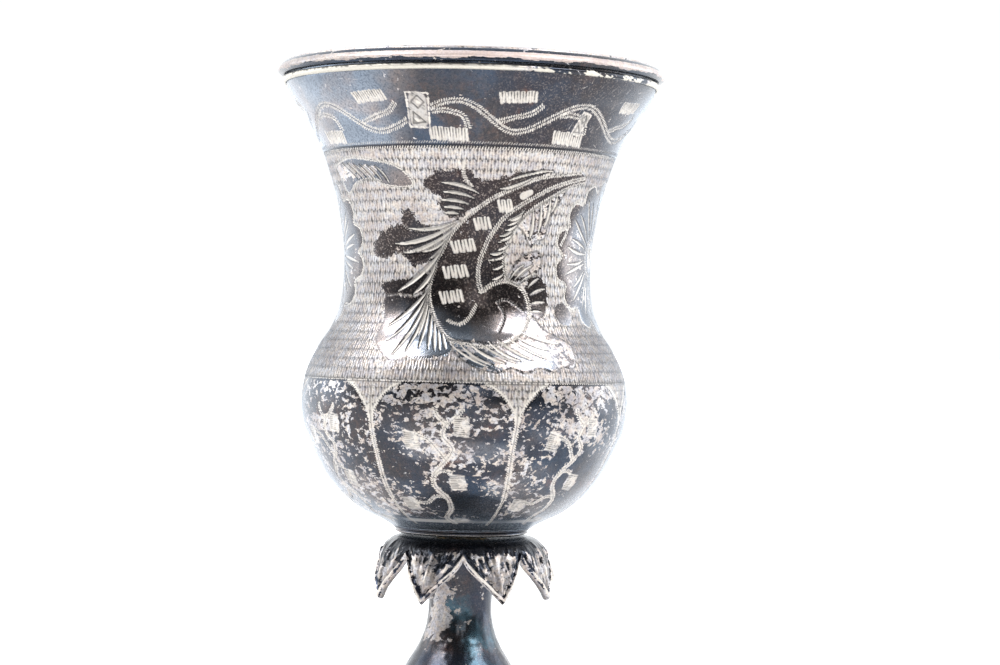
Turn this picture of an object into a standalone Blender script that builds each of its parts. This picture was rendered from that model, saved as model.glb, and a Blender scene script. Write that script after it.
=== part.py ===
"""Ceremonial silver cup: a flared bowl on a calyx of leaves, a hollow baluster stem and a domed foot.

The bowl, calyx, stem and foot are separate pieces clamped together by a tie rod, which screws into a boss
under the bowl and is drawn tight by a nut inside the foot.
Metres, +Z up. The origin is the centre of the plane that the foot rests on. Lengths below are in millimetres.
"""

import math

import bmesh
import bpy

MM = 0.001
GAP = 0.3  # clearance between pieces that touch

# Driving dimensions
HEIGHT = 163.0
LIP_RADIUS = 38.0
FOOT_RADIUS = 34.0
BOWL_WALL = 0.9
STEM_WALL = 0.8
FOOT_WALL = 1.0

# Heights of the joints between the pieces, from the top down
BOWL_FLOOR = 72.4
SEAT_RING_HEIGHT = 1.2
CALYX_TOP = BOWL_FLOOR - SEAT_RING_HEIGHT - 2 * GAP
CALYX_WALL = 1.1
STEM_TOP = CALYX_TOP - CALYX_WALL - GAP
STEM_SEAM = 35.5
STEM_BOTTOM = 25.0
COLLAR_HEIGHT = 1.5
FOOT_TOP = STEM_BOTTOM - COLLAR_HEIGHT - 2 * GAP
FOOT_RIM_HEIGHT = 4.2

# Tie rod and what it holds
ROD_RADIUS = 2.0
ROD_HOLE = ROD_RADIUS + GAP
BOSS_RADIUS = 5.0
BOSS_HEIGHT = 8.0
SEAT_HOLE = BOSS_RADIUS + GAP
WASHER_RADIUS = 6.5
WASHER_THICKNESS = 1.0
NUT_HEIGHT = 3.0
NUT_CORNER_RADIUS = 4.1
ROD_TAIL = 1.0  # how far the rod stands out below the nut

# Calyx
NOTCH_HEIGHT = 67.1
LEAF_GAPS = [0, 43, 88, 133, 180, 227, 272, 317]  # degrees round from the front

# Facets around
AROUND_WIDE = 40
AROUND_NARROW = 24

# Outlines are (radius, height) down the outer side
BOWL_OUTSIDE = [
    (35.75, HEIGHT),
    (36.0, 160.6),
    (35.9, 158.4),
    (34.9, 155.7),
    (33.0, 153.0),
    (30.4, 148.6),
    (28.5, 144.4),
    (26.5, 138.4),
    (24.9, 131.0),
    (24.2, 123.4),
    (24.5, 117.2),
    (26.7, 110.6),
    (30.1, 105.0),
    (31.8, 99.4),
    (31.8, 94.3),
    (29.8, 87.9),
    (26.2, 81.4),
    (21.8, 76.9),
    (16.4, 73.9),
    (13.2, BOWL_FLOOR),
]
STEM_UPPER_OUTSIDE = [
    (8.4, STEM_TOP),
    (7.0, 65.5),
    (6.2, 56.5),
    (7.5, 50.1),
    (10.1, 45.4),
    (13.0, 40.2),
    (14.3, STEM_SEAM + GAP / 2),
]
STEM_LOWER_OUTSIDE = [
    (14.3, STEM_SEAM - GAP / 2),
    (13.0, 31.4),
    (9.3, 27.9),
    (6.4, STEM_BOTTOM),
]
FOOT_OUTSIDE = [
    (7.4, FOOT_TOP),
    (8.9, 19.6),
    (13.0, 15.8),
    (19.5, 13.6),
    (25.4, 10.6),
    (28.8, 6.6),
    (29.9, FOOT_RIM_HEIGHT + GAP + FOOT_WALL),
]
CALYX_OUTSIDE = [
    (12.6, CALYX_TOP),
    (14.4, 69.8),
    (16.0, 67.9),
    (17.1, 65.2),
    (17.8, 62.4),
    (18.1, 58.8),
]


def clear_scene():
    for obj in list(bpy.data.objects):
        bpy.data.objects.remove(obj)


def collection(name):
    made = bpy.data.collections.new(name)
    bpy.context.scene.collection.children.link(made)
    return made


def metal(name, colour, roughness):
    made = bpy.data.materials.new(name)
    made.use_nodes = True
    shader = made.node_tree.nodes["Principled BSDF"]
    shader.inputs["Base Color"].default_value = (*colour, 1.0)
    shader.inputs["Roughness"].default_value = roughness
    shader.inputs["Metallic"].default_value = 1.0
    return made


def smooth(points, per_span):
    """Points along the Catmull-Rom curve through the given ones."""
    ends = [points[0], *points, points[-1]]
    made = []
    for a, b, c, d in zip(ends, ends[1:], ends[2:], ends[3:]):
        for step in range(per_span):
            t = step / per_span
            made.append(
                tuple(
                    b[i]
                    + 0.5 * t * (c[i] - a[i])
                    + t * t * (a[i] - 2.5 * b[i] + 2 * c[i] - 0.5 * d[i])
                    + t**3 * (1.5 * (b[i] - c[i]) + 0.5 * (d[i] - a[i]))
                    for i in (0, 1)
                )
            )
    return [*made, tuple(points[-1])]


def arc(centre, radius, start, end, steps):
    """Points on an arc in the (radius, height) plane, with the angles in degrees from outwards."""
    angles = [math.radians(start + (end - start) * i / steps) for i in range(steps + 1)]
    return [
        (centre[0] + radius * math.cos(a), centre[1] + radius * math.sin(a)) for a in angles
    ]


def turned(name, outline, material, around, closed=True):
    """A piece turned about Z from its outline, which runs down the outer side."""
    mesh = bpy.data.meshes.new(name)
    points = [(r * MM, 0, z * MM) for r, z in outline]
    edges = [(i, i + 1) for i in range(len(points) - 1)]
    if closed:
        edges.append((len(points) - 1, 0))
    mesh.from_pydata(points, edges, [])
    mesh.materials.append(material)
    obj = bpy.data.objects.new(name, mesh)
    parts.objects.link(obj)
    screw = obj.modifiers.new("turn", "SCREW")
    screw.axis = "Z"
    screw.angle = math.tau
    screw.steps = around
    screw.render_steps = around
    screw.use_merge_vertices = True
    screw.merge_threshold = 0.01 * MM
    screw.use_smooth_shade = True
    return obj


def sheet_metal(name, outline, wall, material, around):
    """A turned skin given its wall on the inner side."""
    obj = turned(name, outline, material, around, closed=False)
    solid = obj.modifiers.new("wall", "SOLIDIFY")
    solid.thickness = wall * MM
    solid.offset = -1.0
    solid.use_even_offset = True
    return obj


def cut(obj, cutter):
    boolean = obj.modifiers.new(cutter.name, "BOOLEAN")
    boolean.operation = "DIFFERENCE"
    boolean.solver = "EXACT"
    boolean.object = cutter
    cutter.hide_render = True
    cutter.display_type = "WIRE"


def make_bowl():
    """The raised bowl, closed at the bottom and open at the lip."""
    outline = smooth(BOWL_OUTSIDE, 2) + [(0.0, BOWL_FLOOR)]
    sheet_metal("bowl_shell", outline, BOWL_WALL, silver, AROUND_WIDE)


def make_lip():
    """A bevelled band around the lip with a hollow below it, and a wire under the band."""
    inner = max(r for r, z in BOWL_OUTSIDE[:3]) + GAP + 0.05
    outline = [
        (inner, HEIGHT - 0.25),
        (LIP_RADIUS - 1.2, HEIGHT - 0.65),
        (LIP_RADIUS - 0.35, HEIGHT - 1.55),
        (LIP_RADIUS, HEIGHT - 2.1),
        (LIP_RADIUS - 0.35, HEIGHT - 2.6),
        (LIP_RADIUS - 0.8, HEIGHT - 3.0),
        (inner, HEIGHT - 3.0),
    ]
    turned("lip_band", outline, silver, AROUND_WIDE)
    wire_radius = 0.55
    wire_centre = (inner + 0.2, HEIGHT - 3.0 - GAP - wire_radius)
    outline = arc(wire_centre, wire_radius, 110, -110, 6)
    turned("lip_wire", outline, bright_silver, AROUND_WIDE)


def make_bowl_fixing():
    """The ring that the bowl sits on, and the boss under the bowl with a blind hole for the tie rod."""
    top = BOWL_FLOOR - GAP
    bottom = top - SEAT_RING_HEIGHT
    radius = 13.4
    edge = SEAT_RING_HEIGHT / 2
    outline = [
        (SEAT_HOLE, top),
        *arc((radius - edge, (top + bottom) / 2), edge, 90, -90, 4),
        (SEAT_HOLE, bottom),
    ]
    turned("seat_ring", outline, silver, AROUND_WIDE)
    hole_top = top - 1.2
    outline = [
        (0.0, top),
        (BOSS_RADIUS, top),
        (BOSS_RADIUS, top - BOSS_HEIGHT),
        (ROD_HOLE, top - BOSS_HEIGHT),
        (ROD_HOLE, hole_top),
        (0.0, hole_top),
    ]
    turned("bowl_boss", outline, brass, AROUND_NARROW, closed=False)
    return hole_top


def make_leaf_gap(index):
    """A prism the shape of the pointed gap between two leaves, reaching out from the axis."""
    half_gap = [(0.0, 0.0), (0.8, 1.0), (2.0, 2.2), (4.0, 4.4), (6.0, 6.9), (7.3, 8.9), (7.8, 11.1)]
    side = [(x, NOTCH_HEIGHT - below) for x, below in half_gap]
    outline = side + [(-x, z) for x, z in reversed(side[1:])]
    start, end = 10.0, 24.0
    curve = bpy.data.curves.new(f"leaf_gap_{index}", "CURVE")
    curve.dimensions = "2D"
    curve.fill_mode = "BOTH"
    curve.extrude = (end - start) / 2 * MM
    spline = curve.splines.new("POLY")
    spline.points.add(len(outline) - 1)
    for point, (x, z) in zip(spline.points, outline):
        point.co = (x * MM, z * MM, 0, 1)
    spline.use_cyclic_u = True
    drawn = bpy.data.objects.new("gap_outline", curve)
    cutters.objects.link(drawn)
    azimuth = math.radians(LEAF_GAPS[index] - 90)
    reach = (start + end) / 2 * MM
    drawn.location = (reach * math.cos(azimuth), reach * math.sin(azimuth), 0)
    drawn.rotation_euler = (math.pi / 2, 0, azimuth + math.pi / 2)
    bpy.context.view_layer.update()
    graph = bpy.context.evaluated_depsgraph_get()
    mesh = bpy.data.meshes.new_from_object(drawn.evaluated_get(graph))
    made = bpy.data.objects.new(f"leaf_gap_{index}", mesh)
    made.matrix_world = drawn.matrix_world
    cutters.objects.link(made)
    bpy.data.objects.remove(drawn)
    weld(mesh)
    return made


def weld(mesh):
    """Joins the caps of a mesh made from a curve to its sides."""
    work = bmesh.new()
    work.from_mesh(mesh)
    bmesh.ops.remove_doubles(work, verts=work.verts, dist=0.001 * MM)
    bmesh.ops.recalc_face_normals(work, faces=work.faces)
    work.to_mesh(mesh)
    work.free()


def make_calyx():
    """The skirt of eight hanging leaves: a turned sheet with the gaps between the leaves cut out."""
    outline = [(SEAT_HOLE, CALYX_TOP), *CALYX_OUTSIDE]
    calyx = sheet_metal("leaf_calyx", outline, CALYX_WALL, silver, AROUND_WIDE)
    for index in range(len(LEAF_GAPS)):
        cut(calyx, make_leaf_gap(index))


def upright_ends(outline, height):
    """The outline with a short upright edge at each end, so that its wall ends square."""
    top, bottom = outline[0], outline[-1]
    inside = [(top[0], top[1] - height), *outline[1:-1], (bottom[0], bottom[1] + height)]
    return [top, *smooth(inside, 2), bottom]


def make_stem():
    """The hollow baluster in two halves that meet at its widest ring."""
    upper = upright_ends(STEM_UPPER_OUTSIDE, 0.7)
    lower = upright_ends(STEM_LOWER_OUTSIDE, 0.7)
    sheet_metal("baluster_upper", upper, STEM_WALL, silver, AROUND_NARROW)
    sheet_metal("baluster_lower", lower, STEM_WALL, silver, AROUND_NARROW)


def make_foot():
    """The collar under the stem, the domed foot, and the moulded rim that it stands on."""
    top = STEM_BOTTOM - GAP
    bottom = top - COLLAR_HEIGHT
    radius, edge = 8.3, COLLAR_HEIGHT / 2
    outline = [
        (ROD_HOLE, top),
        *arc((radius - edge, (top + bottom) / 2), edge, 90, -90, 4),
        (ROD_HOLE, bottom),
    ]
    turned("foot_collar", outline, silver, AROUND_NARROW)

    flange = FOOT_RADIUS - 1.4
    outline = [
        (ROD_HOLE, FOOT_TOP),
        *smooth(FOOT_OUTSIDE, 2),
        (flange, FOOT_RIM_HEIGHT + GAP + FOOT_WALL),
    ]
    sheet_metal("foot_dome", outline, FOOT_WALL, silver, AROUND_WIDE)

    inner = 29.5
    outline = [
        (inner, FOOT_RIM_HEIGHT),
        (FOOT_RADIUS - 1.6, FOOT_RIM_HEIGHT),
        (FOOT_RADIUS - 1.0, 3.4),
        (FOOT_RADIUS - 1.2, 2.6),
        *arc((FOOT_RADIUS - 0.9, 1.3), 0.9, 75, -75, 4),
        (FOOT_RADIUS - 1.0, 0.0),
        (inner, 0.0),
    ]
    turned("foot_rim", outline, silver, AROUND_WIDE)


def make_tie_rod(rod_top):
    """The rod, and the dished washer and hexagon nut that hold it inside the foot."""
    washer_top = FOOT_TOP - FOOT_WALL - GAP
    dish = 0.6
    outline = [
        (ROD_HOLE, washer_top),
        (WASHER_RADIUS - 1.6, washer_top),
        (WASHER_RADIUS, washer_top - dish),
        (WASHER_RADIUS - 0.3, washer_top - dish - WASHER_THICKNESS),
        (ROD_HOLE, washer_top - WASHER_THICKNESS),
    ]
    turned("dished_washer", outline, brass, AROUND_NARROW)

    nut_top = washer_top - WASHER_THICKNESS - GAP
    bpy.ops.mesh.primitive_cylinder_add(
        vertices=6,
        radius=NUT_CORNER_RADIUS * MM,
        depth=NUT_HEIGHT * MM,
        location=(0, 0, (nut_top - NUT_HEIGHT / 2) * MM),
    )
    nut = place(bpy.context.object, "tie_nut", brass)
    bpy.ops.mesh.primitive_cylinder_add(
        vertices=AROUND_NARROW,
        radius=ROD_HOLE * MM,
        depth=3 * NUT_HEIGHT * MM,
        location=nut.location,
    )
    cut(nut, place(bpy.context.object, "nut_hole", None))

    rod_bottom = nut_top - NUT_HEIGHT - ROD_TAIL
    rod_end = rod_top - GAP
    bpy.ops.mesh.primitive_cylinder_add(
        vertices=AROUND_NARROW,
        radius=ROD_RADIUS * MM,
        depth=(rod_end - rod_bottom) * MM,
        location=(0, 0, (rod_end + rod_bottom) / 2 * MM),
    )
    place(bpy.context.object, "tie_rod", brass)


def place(obj, name, material):
    """Names a primitive and moves it to the parts, or to the cutters if it has no material."""
    obj.name = name
    for holder in list(obj.users_collection):
        holder.objects.unlink(obj)
    if material is None:
        cutters.objects.link(obj)
    else:
        parts.objects.link(obj)
        obj.data.materials.append(material)
    return obj


clear_scene()
parts = collection("ceremonial_cup")
cutters = collection("cutters")
silver = metal("tarnished_silver", (0.34, 0.32, 0.33), 0.34)
bright_silver = metal("bright_silver", (0.82, 0.78, 0.72), 0.22)
brass = metal("brass", (0.62, 0.47, 0.22), 0.38)

make_bowl()
make_lip()
rod_socket = make_bowl_fixing()
make_calyx()
make_stem()
make_foot()
make_tie_rod(rod_socket)
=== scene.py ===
import math

import bpy
import numpy as np
from mathutils import Matrix, Vector


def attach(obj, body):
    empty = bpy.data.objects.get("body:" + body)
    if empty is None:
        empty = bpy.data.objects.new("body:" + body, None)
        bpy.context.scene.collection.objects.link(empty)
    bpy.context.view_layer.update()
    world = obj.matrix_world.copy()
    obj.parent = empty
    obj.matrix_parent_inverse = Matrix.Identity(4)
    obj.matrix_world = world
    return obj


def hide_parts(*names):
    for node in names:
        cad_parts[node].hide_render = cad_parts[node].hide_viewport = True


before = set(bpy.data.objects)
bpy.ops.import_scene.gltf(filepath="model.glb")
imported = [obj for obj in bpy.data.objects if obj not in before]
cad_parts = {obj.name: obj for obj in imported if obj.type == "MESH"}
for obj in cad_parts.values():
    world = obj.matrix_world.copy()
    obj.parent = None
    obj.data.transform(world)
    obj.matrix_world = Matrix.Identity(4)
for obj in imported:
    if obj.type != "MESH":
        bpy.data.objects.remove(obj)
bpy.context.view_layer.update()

MM = 0.001
RADIAN = math.pi / 180
COLUMNS = 1280  # cells round the engraved bowl
STEP = 0.19  # cell height, mm
FOOT_COLUMNS = 960
FOOT_STEP = 0.2
LEG = 0.6  # length of the straight legs that a long cut is made of, mm
rng = np.random.default_rng(11)

# Angles are in degrees round the cup from its front, to the right; lengths are in millimetres.
# Outlines are (radius, height) down the outer side.
BOWL = [
    (36.0, 162.2), (36.3, 160.6), (36.3, 158.8), (35.7, 157.0), (34.5, 155.0), (33.0, 153.2), (31.2, 150.2),
    (29.6, 147.2), (28.5, 144.4), (27.5, 141.5), (26.5, 138.4), (25.7, 135.2), (24.9, 131.0),
    (24.4, 127.4), (24.2, 124.0), (24.2, 120.6), (24.5, 117.2), (25.2, 114.1), (26.7, 110.6),
    (28.3, 108.2), (30.1, 105.0), (31.2, 102.2), (31.8, 99.4), (32.0, 97.0), (31.8, 94.3), (31.1, 91.0),
    (29.8, 87.9), (28.2, 84.6), (26.2, 81.4), (23.5, 78.4), (19.9, 75.6), (16.4, 73.9), (14.4, 72.8),
    (13.7, 72.3),
]
BOWL_TOP = 162.2
TOP_LINE = 158.75  # the line below the lip
FRIEZE_BOTTOM = 144.9
FIELD_BOTTOM = 101.2
BOWL_BOTTOM = 72.3
SKIN_WALL = 0.45
FOOT = [
    (7.4, 23.0), (7.9, 21.2), (9.3, 18.9), (12.4, 16.4), (16.6, 14.6), (20.8, 13.0), (24.6, 11.0),
    (27.4, 8.6), (28.9, 6.8), (29.9, 5.9), (31.2, 5.6), (32.6, 5.5),
]
FOOT_TOP = 23.0
FOOT_BOTTOM = 5.5
FOOT_WALL = 1.0
CALYX = [(5.6, 70.5), (9.0, 70.55), (12.4, 70.5), (14.4, 69.8), (16.0, 67.9), (17.1, 65.2), (17.7, 63.0),
         (18.0, 61.0), (18.1, 59.0), (18.1, 56.5)]
NOTCH_HEIGHT = 67.1
LEAF_TIP_HEIGHT = 58.9
CALYX_SHIFT = 0.6  # to the right of the cup's axis
STEM_TOP = [(8.4, 69.2), (8.3, 68.4), (7.2, 65.8), (6.6, 62.5), (6.3, 59.0), (6.2, 56.4), (6.35, 54.2),
            (6.85, 51.9), (7.5, 50.1), (8.3, 48.4), (9.2, 46.9), (10.2, 45.3), (11.5, 42.9), (12.8, 40.4),
            (13.9, 37.9), (14.3, 36.0), (14.3, 35.65)]
STEM_LOW = [(14.3, 35.35), (14.2, 34.6), (13.4, 31.9), (11.5, 29.3), (9.0, 27.4), (7.0, 25.9), (6.4, 25.0)]
STEM_WALL = 0.8


# ---------------------------------------------------------------- curves and noise
def curve(points, per_span):
    """Points along the Catmull-Rom curve through the given ones, as an array."""
    p = np.array([points[0], *points, points[-1]], float)
    t = (np.arange(per_span) / per_span)[:, None]
    spans = []
    for a, b, c, d in zip(p, p[1:], p[2:], p[3:]):
        square, cube = a - 2.5 * b + 2 * c - 0.5 * d, 1.5 * (b - c) + 0.5 * (d - a)
        spans.append(b + 0.5 * t * (c - a) + t**2 * square + t**3 * cube)
    return np.vstack([*spans, p[-1:]])


def run_along(dx, dy):
    """The distance run at each point of a line, from the steps between its points."""
    return np.concatenate([[0], np.cumsum(np.hypot(dx, dy))])


def outward(p):
    """The unit normals of an outline's outer side."""
    along = np.gradient(p, axis=0)
    normal = np.stack([-along[:, 1], along[:, 0]], -1)
    return normal / np.linalg.norm(normal, axis=1)[:, None]


def around(height):
    """A level path right round, as (angle, height)."""
    return [(angle, height) for angle in range(-180, 181, 6)]


def rings(r, z, turn):
    """Points at radius r and height z, turned round the cup's axis from its front."""
    return np.stack(np.broadcast_arrays(r * np.sin(turn), -r * np.cos(turn), z), -1)


def soft_noise(rows, columns, row_cells, column_cells):
    """Smooth noise between -1 and 1 on a grid that closes on itself across its columns."""
    coarse = rng.uniform(-1, 1, (row_cells + 2, column_cells))
    y = np.linspace(0, row_cells, rows)
    x = np.arange(columns) / columns * column_cells
    y0, x0 = np.floor(y).astype(int), np.floor(x).astype(int)
    fy, fx = (y - y0)[:, None], (x - x0)[None, :]
    fy, fx = fy * fy * (3 - 2 * fy), fx * fx * (3 - 2 * fx)
    x1 = (x0 + 1) % column_cells
    top, low = (coarse[row][:, x0] * (1 - fx) + coarse[row][:, x1] * fx for row in (y0, y0 + 1))
    return top * (1 - fy) + low * fy


def ramp(x, low, high):
    """A smooth rise from 0 at low to 1 at high."""
    t = np.clip((x - low) / (high - low), 0, 1)
    return t * t * (3 - 2 * t)


def window(x, low, full, still_full, high):
    """A smooth rise from 0 at low to 1, and a smooth fall to 0 at high."""
    return ramp(x, low, full) * (1 - ramp(x, still_full, high))


def bell(x, centre, width):
    """A smooth hump of height 1."""
    return np.exp(-(((x - centre) / width) ** 2))


# ---------------------------------------------------------------- engraver
class Skin:
    """A turned surface on a fine grid of angle and distance down its outline, for the engraver to cut.

    relief is in mm, and the rest are from 0 to 1: bright is freshly cut metal, and also a painted reflection
    band and a painted glint on the bowl; wear is how much metal shows through the tarnish, held low under a
    painted dark reflection of the lens; stain is dirt in the lines, and painted shade; grain is how speckled
    the tarnish is; and film is how far it is rubbed thin and shiny, and also painted haze and sheen.
    """

    MAPS = ("bright", "wear", "stain", "grain", "film")

    def __init__(self, outline, columns, step):
        points = curve(outline, 8)
        run = run_along(*np.diff(points, axis=0).T)
        self.rows = int(round(run[-1] / step)) + 1
        self.columns = columns
        self.s = np.linspace(0, run[-1], self.rows)
        self.r, self.z = (np.interp(self.s, run, axis) for axis in points.T)
        dr, dz = np.gradient(self.r), np.gradient(self.z)
        length = np.hypot(dr, dz)
        self.nr, self.nz = -dz / length, dr / length
        self.angle = (np.arange(columns) / columns - 0.5) * 360
        for key in ("relief", *self.MAPS):
            setattr(self, key, np.zeros((self.rows, columns)))

    def down(self, height):
        """Distance down the outline to a height."""
        return np.interp(-np.asarray(height, float), -self.z, self.s)

    def row(self, height):
        return int(round(float(self.down(height)) / self.s[-1] * (self.rows - 1)))

    def radius(self, s):
        return np.interp(s, self.s, self.r)

    def noise(self, row_cells, column_cells):
        return soft_noise(self.rows, self.columns, row_cells, column_cells)

    def columns_between(self, low, high):
        """The columns between two angles, which may run past the grid's ends, and the angle of each."""
        columns = np.arange(int((low / 360 + 0.5) * self.columns), int((high / 360 + 0.5) * self.columns) + 2)
        return columns, (columns / self.columns - 0.5) * 360

    def patch(self, angle, height, tilt=0.0):
        """A function from mm right and down on a small tilted patch to (angle, distance down)."""
        s = float(self.down(height))
        scale = float(self.radius(s)) * RADIAN
        c, n = math.cos(tilt * RADIAN), math.sin(tilt * RADIAN)
        return lambda x, y: (angle + (x * c - y * n) / scale, s + x * n + y * c)

    def near(self, a, b, width_a, width_b):
        """How far inside a tapering line from a to b each cell is, from 1 on the line to 0 at its edge."""
        reach = max(width_a, width_b)
        s0, s1 = min(a[1], b[1]) - reach, max(a[1], b[1]) + reach
        cell = self.s[1]
        rows = slice(max(int(s0 / cell), 0), max(min(int(s1 / cell) + 2, self.rows), 0))
        if rows.start >= rows.stop:
            return None
        spread = reach / (self.r[rows].min() * RADIAN)
        columns, angle = self.columns_between(min(a[0], b[0]) - spread, max(a[0], b[0]) + spread)
        scale = self.r[rows][:, None] * RADIAN
        x = (angle - a[0])[None, :] * scale
        y = self.s[rows][:, None] - a[1]
        bx, by = (b[0] - a[0]) * scale, b[1] - a[1]
        t = np.clip((x * bx + y * by) / (bx * bx + by * by + 1e-9), 0, 1)
        distance = np.hypot(x - t * bx, y - t * by)
        inside = np.clip(1 - distance / (width_a + (width_b - width_a) * t), 0, 1)
        return (rows, columns % self.columns), inside

    def stroke(self, a, b, width_a, width_b, depth=0.12, bright=1.0, stain=0.0):
        """One cut of the graver between two (angle, distance down) points; widths are half widths."""
        found = self.near(a, b, width_a, width_b)
        if found is None:
            return
        at, inside = found
        self.relief[at] = np.minimum(self.relief[at], -depth * inside)
        if bright:
            self.bright[at] = np.maximum(self.bright[at], bright * ramp(inside, 0.05, 0.55))
        if stain:
            self.stain[at] = np.maximum(self.stain[at], stain * ramp(inside, 0.0, 0.6))

    def blot(self, mask, a, b, width_a, width_b, amount=1.0, soft=0.25):
        """Raises a mask inside a tapering line."""
        found = self.near(a, b, width_a, width_b)
        if found is not None:
            at, inside = found
            mask[at] = np.maximum(mask[at], amount * ramp(inside, 0, soft))

    def walk(self, path, pitch):
        """Points every pitch along a smooth path of (angle, height), and its direction in mm at each."""
        p = curve(path, 12)
        s = self.down(p[:, 1])
        scale = self.radius(s) * RADIAN
        run = run_along(np.diff(p[:, 0]) * scale[1:], np.diff(s))
        at = np.linspace(0, run[-1], max(int(run[-1] / pitch), 2) + 1)
        angle, s = np.interp(at, run, p[:, 0]), np.interp(at, run, s)
        scale = self.radius(s) * RADIAN
        dx, dy = np.gradient(angle) * scale, np.gradient(s)
        length = np.hypot(dx, dy) + 1e-9
        return angle, s, dx / length, dy / length, scale

    def legs(self, path):
        """The two ends of each short leg along a smooth path of (angle, height)."""
        angle, s, *_ = self.walk(path, LEG)
        ends = list(zip(angle, s))
        return zip(ends, ends[1:])

    def line(self, path, width, depth=0.12, bright=1.0, stain=0.0):
        for a, b in self.legs(path):
            self.stroke(a, b, width, width, depth, bright, stain)

    def groove(self, path, width, depth, stain):
        """A dull line with dirt in it."""
        self.line(path, width, depth, 0.0, stain)

    def beads(self, path, offset, length, pitch, width=0.15, bright=1.0):
        """Short leaning cuts across a path, set to one side of it."""
        lean = 0.12
        for angle, s, dx, dy, scale in zip(*self.walk(path, pitch)):
            reach = length * rng.uniform(0.4, 0.6)
            shift = offset + rng.normal(0, 0.03)
            ends = []
            for side in (-1, 1):
                across, along = shift + side * reach, lean * side
                ends.append((angle + (dy * across + dx * along) / scale, s - dx * across + dy * along))
            self.stroke(*ends, width, width, 0.1, bright * rng.uniform(0.75, 1.0))

    def ribbon(self, path, half_width, halo=0.0):
        """A wriggled double line: a dull core with short cuts down both sides."""
        edge, groove = half_width + 0.15, half_width * 0.42
        for a, b in self.legs(path):
            self.blot(self.bright, a, b, edge, edge, 0.2, 0.35)
            self.stroke(a, b, groove, groove, 0.1, 0.0, 0.6)
            if halo:
                self.blot(self.wear, a, b, 0.9, 0.9, halo, 0.9)
        for side in (-half_width, half_width):
            self.beads(path, side, half_width * 1.15, 0.46)

    def block(self, angle, height, width, tall, cuts, upright=True, tilt=0.0, halo=0.0, glow=1.0):
        """A small patch of close parallel cuts, upright or level."""
        at = self.patch(angle, height, tilt)
        long, wide = (tall, width) if upright else (width, tall)
        pitch = wide / cuts

        def cut_end(i, side):
            lean = 0.13 * pitch * math.cos(math.pi * i) + 0.06 * long
            across, along = wide * ((i + 0.5) / cuts - 0.5) + lean * side, long / 2 * side
            return at(across, along) if upright else at(along, across)

        for i in range(cuts):
            ends = [cut_end(i + rng.normal(0, 0.08), side * rng.uniform(0.86, 1.08)) for side in (-1, 1)]
            self.blot(self.bright, *ends, 0.4, 0.4, 0.56 * glow, 0.3)
            self.stroke(*ends, pitch * 0.42, pitch * 0.32, 0.14, rng.uniform(0.66, 0.95) * glow)
            if i:
                ends = [cut_end(i - 0.5, side) for side in (-0.95, rng.uniform(-0.2, 0.7))]
                self.stroke(*ends, pitch * 0.38, pitch * 0.14, 0.05, 0.0, rng.uniform(0.55, 0.95))
        if halo:
            level = self.patch(angle, height)
            ends = [level(side * width / 4, 0) for side in (-1, 1)]
            self.blot(self.wear, *ends, tall * 0.62, tall * 0.62, halo, 0.8)

    def mark(self, angle, height, width, tall, tilt):
        """A plain punch: a panel with a rubbed edge, a lozenge, a wedge and specks of dirt."""
        patch = self.patch(angle, height, tilt)

        def at(x, y):
            return patch(x * width / 2, y * tall / 2)

        where, inside = self.near(at(0, -0.62), at(0, 0.62), width * 0.62, width * 0.62)
        clear = 1 - ramp(inside, 0.0, 0.12)
        for layer in (self.bright, self.stain, self.relief):
            layer[where] = layer[where] * clear
        self.blot(self.bright, at(0, -0.6), at(0, 0.6), width * 0.52, width * 0.52, 0.55, 0.3)
        corners = [at(-1, -1), at(1, -1), at(1, 1), at(-1, 1), at(-1, -1)]
        nicks = 11
        for a, b in zip(corners, corners[1:]):
            for k in range(nicks):
                start, stop = k / nicks + rng.uniform(-0.03, 0.03), (k + 0.7) / nicks
                ends = [tuple(p + (q - p) * t for p, q in zip(a, b)) for t in (start, stop)]
                widths = [rng.uniform(0.16, widest) for widest in (0.42, 0.36)]
                self.stroke(*ends, *widths, 0.08, rng.uniform(0.45, 0.8))
        lozenge = [(0.0, -0.82), (0.6, -0.42), (0.0, -0.06), (-0.6, -0.42), (0.0, -0.82)]
        wedge = [(-0.6, 0.82), (-0.5, 0.16), (0.62, 0.7), (-0.6, 0.82)]
        for shape, middle in ((lozenge, (0.0, -0.42)), (wedge, (-0.3, 0.6))):
            for a, b in zip(shape, shape[1:]):
                self.stroke(at(*a), at(*b), 0.26, 0.18, 0.12, 0.0, rng.uniform(0.6, 0.95))
            self.stroke(at(*middle), at(middle[0] + 0.2, middle[1] + 0.05), 0.5, 0.35, 0.02, 0.8)
        for _ in range(26):
            x, y = rng.uniform(-0.95, 0.95), rng.uniform(-1, 1)
            spot = rng.uniform(0.12, 0.34)
            self.stroke(at(x, y), at(x + 0.15, y + 0.05), spot, spot * 0.6, 0.1, 0.0, rng.uniform(0.25, 0.8))

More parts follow.
